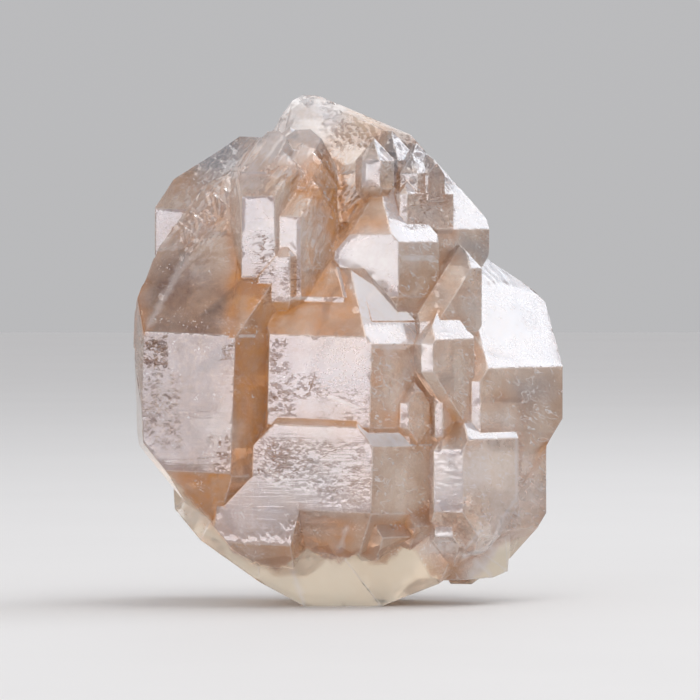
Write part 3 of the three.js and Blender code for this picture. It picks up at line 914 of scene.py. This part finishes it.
def smoky_quartz(name):
    """Hazy, see-through quartz under a clear gloss. It is one material, so that light leaves the same volume
    that it entered."""
    made = Nodes(name)
    etched = etched_lines(made)
    normal = surface(made, etched)
    made.feed(made.shader, {
        "Base Color": quartz_colour(made, etched), "Roughness": haze(made), "IOR": QUARTZ_IOR,
        "Transmission Weight": TRANSMISSION, "Coat Weight": 1.0, "Coat Roughness": GLOSS,
        "Normal": normal, "Coat Normal": normal,
    })
    volume = made.add("ShaderNodeVolumeAbsorption", {"Color": ABSORPTION, "Density": ABSORPTION_PER_M})
    made.feed(made.output, {"Volume": volume.outputs["Volume"]})
    return made.material


def crack_white(name):
    """Thin healed cracks: patches of tiny bright bubbles, with nothing between them."""
    made = Nodes(name)
    patches = made.spread(made.noise(220.0, 7.0, 0.72, 0.8), 0.48, 0.66, 0.0, 0.55)
    made.feed(made.shader, {
        "Base Color": made.mix(made.spread(made.noise(60.0), 0.35, 0.65), BUBBLE_WHITE, BUBBLE_TAN),
        "Alpha": made.times(patches, made.number("middle")),
        "Roughness": BUBBLY,
    })
    return made.material


# Healed cracks inside: pixel of the photograph, depth behind the front in mm, radius in mm
CRACKS = [
    (190, 400, 14, 9), (215, 200, 24, 9), (230, 170, 28, 8), (310, 130, 32, 9), (330, 200, 24, 10),
    (300, 240, 16, 8), (270, 320, 18, 9), (320, 370, 14, 10), (340, 330, 20, 9), (290, 470, 12, 9),
    (340, 480, 14, 9), (380, 380, 20, 8), (400, 400, 22, 9), (400, 500, 16, 9), (430, 480, 18, 8),
    (420, 280, 18, 7), (450, 310, 20, 8), (440, 220, 22, 8), (400, 190, 26, 8), (470, 250, 28, 8),
    (500, 330, 24, 10), (530, 380, 26, 9), (500, 450, 22, 9), (490, 500, 20, 9), (530, 480, 28, 8),
    (450, 540, 20, 8), (350, 550, 18, 9), (290, 540, 16, 8), (380, 250, 18, 8), (250, 250, 16, 8),
    (240, 420, 20, 8), (210, 460, 18, 7), (470, 400, 24, 9), (370, 150, 30, 7), (270, 150, 30, 8),
    (250, 370, 30, 10), (340, 420, 30, 12), (440, 360, 32, 12),
]
CRACK_RINGS = 7
CRACK_SPOKES = 28
CRACK_SEED = 11

# Height and length of a sheet's waves and its least distance to the surface in mm, and its least faces
CRACK_WAVE = 1.4
CRACK_WAVE_LENGTH = 7.0
CRACK_CLEAR = 0.8
CRACK_LEAST_FACES = 12
FAR_IN_FRONT = -100.0


def crack_sheet(centre, radius, rng):
    """A wavy, roughly round sheet: points in mm, faces, and how near each point is to its middle."""
    normal = rng.normal(size=3) * (1.0, 1.0, 0.5)
    normal /= np.linalg.norm(normal)
    right = np.cross(normal, (0.3, 0.2, 0.9))
    right /= np.linalg.norm(right)
    up = np.cross(normal, right)
    points, near = [centre], [1.0]
    for ring in range(1, CRACK_RINGS + 1):
        for spoke in range(CRACK_SPOKES):
            turn = 2 * math.pi * spoke / CRACK_SPOKES
            share = ring / CRACK_RINGS
            uneven = math.sin(2 * turn + centre[0]) * math.cos(3 * turn + centre[2])
            reach = radius * share * (0.75 + 0.25 * uneven)
            points.append(centre + reach * (math.cos(turn) * right + math.sin(turn) * up))
            near.append(1.0 - share ** 3)
    points = np.array(points)
    points += normal * (CRACK_WAVE * smooth_noise(points, CRACK_WAVE_LENGTH, 131))[:, None]
    faces = [(0, 1 + spoke, 1 + (spoke + 1) % CRACK_SPOKES) for spoke in range(CRACK_SPOKES)]
    for ring in range(CRACK_RINGS - 1):
        first, second = 1 + ring * CRACK_SPOKES, 1 + (ring + 1) * CRACK_SPOKES
        for spoke in range(CRACK_SPOKES):
            after = (spoke + 1) % CRACK_SPOKES
            faces.append((first + spoke, second + spoke, second + after, first + after))
    return points, faces, np.array(near)


def well_inside(tree, point):
    """True if a point is inside the crystal, away from its surface."""
    place, normal, _, gap = tree.find_nearest(Vector(point) * MM)
    return gap > CRACK_CLEAR * MM and (place - Vector(point) * MM).dot(normal) > 0


def without_scraps(faces, count):
    """The faces of a sheet of so many points, less those in separate parts of only a few faces."""
    part = np.arange(count)
    before = None
    while before is None or (part != before).any():
        before = part.copy()
        for face in faces:
            part[list(face)] = part[list(face)].min()
    sizes = np.bincount([part[face[0]] for face in faces], minlength=count)
    return [face for face in faces if sizes[part[face[0]]] >= CRACK_LEAST_FACES]


def healed_cracks(crystal):
    """The sheets of bubbles, each cut back to what lies well inside the crystal."""
    graph = bpy.context.evaluated_depsgraph_get()
    tree = BVHTree.FromObject(crystal, graph)
    rng = np.random.default_rng(CRACK_SEED)
    all_points, all_faces, middle = [], [], []
    for px, py, deep, radius in CRACKS:
        x, z = to_mm(px, py)
        front = tree.ray_cast(Vector((x, FAR_IN_FRONT, z)) * MM, Vector((0, 1, 0)))[0]
        if front is None:
            continue
        centre = np.array([x, front.y / MM + deep, z])
        points, faces, near = crack_sheet(centre, radius, rng)
        inside = np.array([well_inside(tree, point) for point in points])
        faces = without_scraps([face for face in faces if inside[list(face)].all()], len(points))
        start = len(all_points)
        all_points += points.tolist()
        middle += near.tolist()
        all_faces += [[start + corner for corner in face] for face in faces]
    mesh = bpy.data.meshes.new("healed_cracks")
    mesh.from_pydata((np.array(all_points) * MM).tolist(), [], all_faces)
    number_attribute(mesh, "middle", middle)
    mesh.shade_smooth()
    drop_loose_points(mesh)
    return placed("healed_cracks", mesh)


def drop_loose_points(mesh):
    shape = bmesh.new()
    shape.from_mesh(mesh)
    bmesh.ops.delete(shape, geom=[vert for vert in shape.verts if not vert.link_faces], context="VERTS")
    shape.to_mesh(mesh)
    shape.free()


# The floor: half its side in metres, its two shades and its roughness
FLOOR_HALF = 3.0
FLOOR_SHADES = (0.80, 0.79, 0.78, 1), (0.84, 0.83, 0.82, 1)
FLOOR_ROUGHNESS = 0.6


def pale_floor():
    mesh = bpy.data.meshes.new("floor")
    half = FLOOR_HALF
    corners = [(-half, -half, 0), (half, -half, 0), (half, half, 0), (-half, half, 0)]
    mesh.from_pydata(corners, [], [(0, 1, 2, 3)])
    made = Nodes("pale_floor")
    shade = made.mix(made.noise(9.0, 3.0), *FLOOR_SHADES)
    made.feed(made.shader, {"Base Color": shade, "Roughness": FLOOR_ROUGHNESS})
    mesh.materials.append(made.material)
    placed("floor", mesh)


# The middle of the crystal, which the lamps face
MIDDLE = Vector((0.0, -5.0, 52.0)) * MM

# Soft boxes: distance, width and height in metres, brightness and colour. Then the shades of the sky
FRONT_BOX = (1.1, 0.62, 0.7, 4.4, (0.97, 0.96, 1.0))
BACK_BOX = (1.2, 0.55, 0.55, 2.9, (0.88, 0.93, 1.0))
TOP_BOX = (1.3, 0.9, 0.9, 2.3, (1.0, 0.98, 0.96))
TOP_DIRECTION = (0.25, -0.1, 1.0)
SKY_SHADES = (0.49, 0.49, 0.50, 1), (0.66, 0.66, 0.68, 1)


def softbox(name, towards, distance, width, height, radiance, colour):
    """A flat lamp in a given direction from the crystal, turned towards it. Radiance is its brightness."""
    data = bpy.data.lights.new(name, "AREA")
    data.shape = "RECTANGLE"
    data.size = width
    data.size_y = height
    data.energy = radiance * math.pi * width * height
    data.color = colour
    lamp = placed(name, data)
    direction = Vector(towards).normalized()
    lamp.location = MIDDLE + direction * distance
    lamp.rotation_euler = (-direction).to_track_quat("-Z", "Y").to_euler()
    lamp.visible_camera = False


def mirrored(normal):
    """The direction from which light is mirrored to the camera, which looks along +Y."""
    looking = np.array([0.0, 1.0, 0.0])
    return looking - 2.0 * (looking @ normal) * normal


def studio():
    """Two soft boxes that faces mirror to the camera, one above, and a plain sky."""
    softbox("front_softbox", mirrored(face_normal(1)), *FRONT_BOX)
    softbox("back_softbox", mirrored(face_normal(2, 1)), *BACK_BOX)
    softbox("top_softbox", TOP_DIRECTION, *TOP_BOX)
    world = bpy.data.worlds.new("studio")
    bpy.context.scene.world = world
    world.use_nodes = True
    nodes = world.node_tree.nodes
    links = world.node_tree.links
    direction = nodes.new("ShaderNodeTexCoord")
    parts = nodes.new("ShaderNodeSeparateXYZ")
    sky = nodes.new("ShaderNodeValToRGB")
    for element, shade in zip(sky.color_ramp.elements, SKY_SHADES):
        element.color = shade
    links.new(direction.outputs["Generated"], parts.inputs["Vector"])
    links.new(parts.outputs["Z"], sky.inputs["Fac"])
    links.new(sky.outputs["Color"], nodes["Background"].inputs["Color"])
    nodes["Background"].inputs["Strength"].default_value = 1.0


# The camera: distance in metres, degrees that it looks down, and the depth in mm of what it looks at
CAMERA_DISTANCE = 1.3
CAMERA_ELEVATION = 1.2
CAMERA_TARGET_Y = -12.0
SENSOR_MM = 36.0
FRAME_PX = 700


def camera():
    """Long lens straight in front, so that the frame's 700 pixels span 140 mm at the crystal."""
    x, z = to_mm(FRAME_PX / 2, FRAME_PX / 2)
    target = Vector((x, CAMERA_TARGET_Y, z)) * MM
    rise = math.radians(CAMERA_ELEVATION)
    back = Vector((0.0, -math.cos(rise), math.sin(rise)))
    data = bpy.data.cameras.new("camera")
    data.sensor_width = SENSOR_MM
    data.lens = SENSOR_MM * CAMERA_DISTANCE / (FRAME_PX / PX_PER_MM * MM)
    data.clip_start = 0.05
    item = placed("camera", data)
    item.location = target + back * CAMERA_DISTANCE
    item.rotation_euler = (-back).to_track_quat("-Z", "Y").to_euler()
    bpy.context.scene.camera = item


def render_quality():
    """Enough light bounces for the see-through quartz."""
    scene = bpy.context.scene
    scene.view_settings.view_transform = "Standard"
    scene.cycles.use_denoising = True
    scene.cycles.max_bounces = 12
    scene.cycles.transmission_bounces = 10
    scene.cycles.transparent_max_bounces = 16
    scene.cycles.diffuse_bounces = 4
    scene.cycles.sample_clamp_indirect = 6.0


def build():
    crystal = detailed_crystal(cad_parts["crystal"])
    crystal.data.materials.append(smoky_quartz("smoky_quartz"))
    cracks = healed_cracks(crystal)
    cracks.data.materials.append(crack_white("crack_white"))
    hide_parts("crystal")
    for piece in (crystal, cracks):
        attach(piece, "root")


build()
pale_floor()
studio()
camera()
render_quality()
